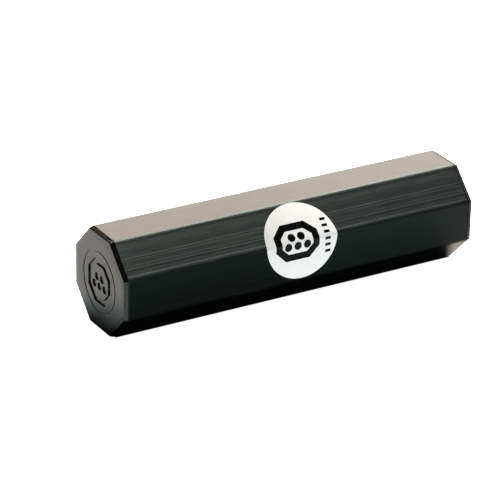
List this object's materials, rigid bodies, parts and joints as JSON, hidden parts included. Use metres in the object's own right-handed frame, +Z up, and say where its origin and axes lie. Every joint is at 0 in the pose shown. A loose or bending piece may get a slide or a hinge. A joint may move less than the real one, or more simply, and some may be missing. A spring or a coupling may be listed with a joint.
{
  "type": "tube shaker",
  "caption": "Octagonal black aluminium tube shaker with plastic end caps, a round label folded over one edge and loose steel shot inside.",
  "frame": {"origin": "under the middle of the tube, on the surface that the tube's lowest flat rests on", "axes": "+X along the tube towards the right end cap, +Z up, and the label is folded over the upper edge of the flat that faces -Y"},
  "size_m": [0.148, 0.0382, 0.038],
  "materials": {
    "tube": "black anodised, satin, fine lines along the extrusion",
    "cap": "black moulded plastic, satin",
    "label": "white vinyl, semi-gloss, printed in black",
    "shot": "bright steel balls"
  },
  "bodies": {
    "shaker": {"tube_body": "tube", "end_cap_left": "cap", "end_cap_right": "cap", "label": "label"},
    "front_row": {"shot_front_01": "shot", "shot_front_03": "shot", "shot_front_05": "shot", "shot_front_07": "shot", "shot_front_09": "shot", "shot_front_11": "shot", "shot_front_13": "shot", "shot_front_15": "shot", "shot_front_17": "shot"},
    "front_row_hoppers": {"shot_front_02": "shot", "shot_front_04": "shot", "shot_front_06": "shot", "shot_front_08": "shot", "shot_front_10": "shot", "shot_front_12": "shot", "shot_front_14": "shot", "shot_front_16": "shot", "shot_front_18": "shot"},
    "middle_row": {"shot_middle_01": "shot", "shot_middle_03": "shot", "shot_middle_05": "shot", "shot_middle_07": "shot", "shot_middle_09": "shot", "shot_middle_11": "shot", "shot_middle_13": "shot", "shot_middle_15": "shot", "shot_middle_17": "shot"},
    "middle_row_hoppers": {"shot_middle_02": "shot", "shot_middle_04": "shot", "shot_middle_06": "shot", "shot_middle_08": "shot", "shot_middle_10": "shot", "shot_middle_12": "shot", "shot_middle_14": "shot", "shot_middle_16": "shot", "shot_middle_18": "shot"},
    "back_row": {"shot_back_01": "shot", "shot_back_03": "shot", "shot_back_05": "shot", "shot_back_07": "shot", "shot_back_09": "shot", "shot_back_11": "shot", "shot_back_13": "shot", "shot_back_15": "shot", "shot_back_17": "shot"},
    "back_row_hoppers": {"shot_back_02": "shot", "shot_back_04": "shot", "shot_back_06": "shot", "shot_back_08": "shot", "shot_back_10": "shot", "shot_back_12": "shot", "shot_back_14": "shot", "shot_back_16": "shot", "shot_back_18": "shot"}
  },
  "joints": [
    {"name": "front_row_slide", "type": "slide", "parent": "shaker", "child": "front_row", "axis": [1, 0, 0], "range_m": [-0.0155, 0.0155]},
    {"name": "front_row_hop", "type": "slide", "parent": "front_row", "child": "front_row_hoppers", "axis": [0, 0, 1], "range_m": [0, 0.0288]},
    {"name": "middle_row_slide", "type": "slide", "parent": "shaker", "child": "middle_row", "axis": [1, 0, 0], "range_m": [-0.0155, 0.0155]},
    {"name": "middle_row_hop", "type": "slide", "parent": "middle_row", "child": "middle_row_hoppers", "axis": [0, 0, 1], "range_m": [0, 0.0288]},
    {"name": "back_row_slide", "type": "slide", "parent": "shaker", "child": "back_row", "axis": [1, 0, 0], "range_m": [-0.0155, 0.0155]},
    {"name": "back_row_hop", "type": "slide", "parent": "back_row", "child": "back_row_hoppers", "axis": [0, 0, 1], "range_m": [0, 0.0288]}
  ]
}
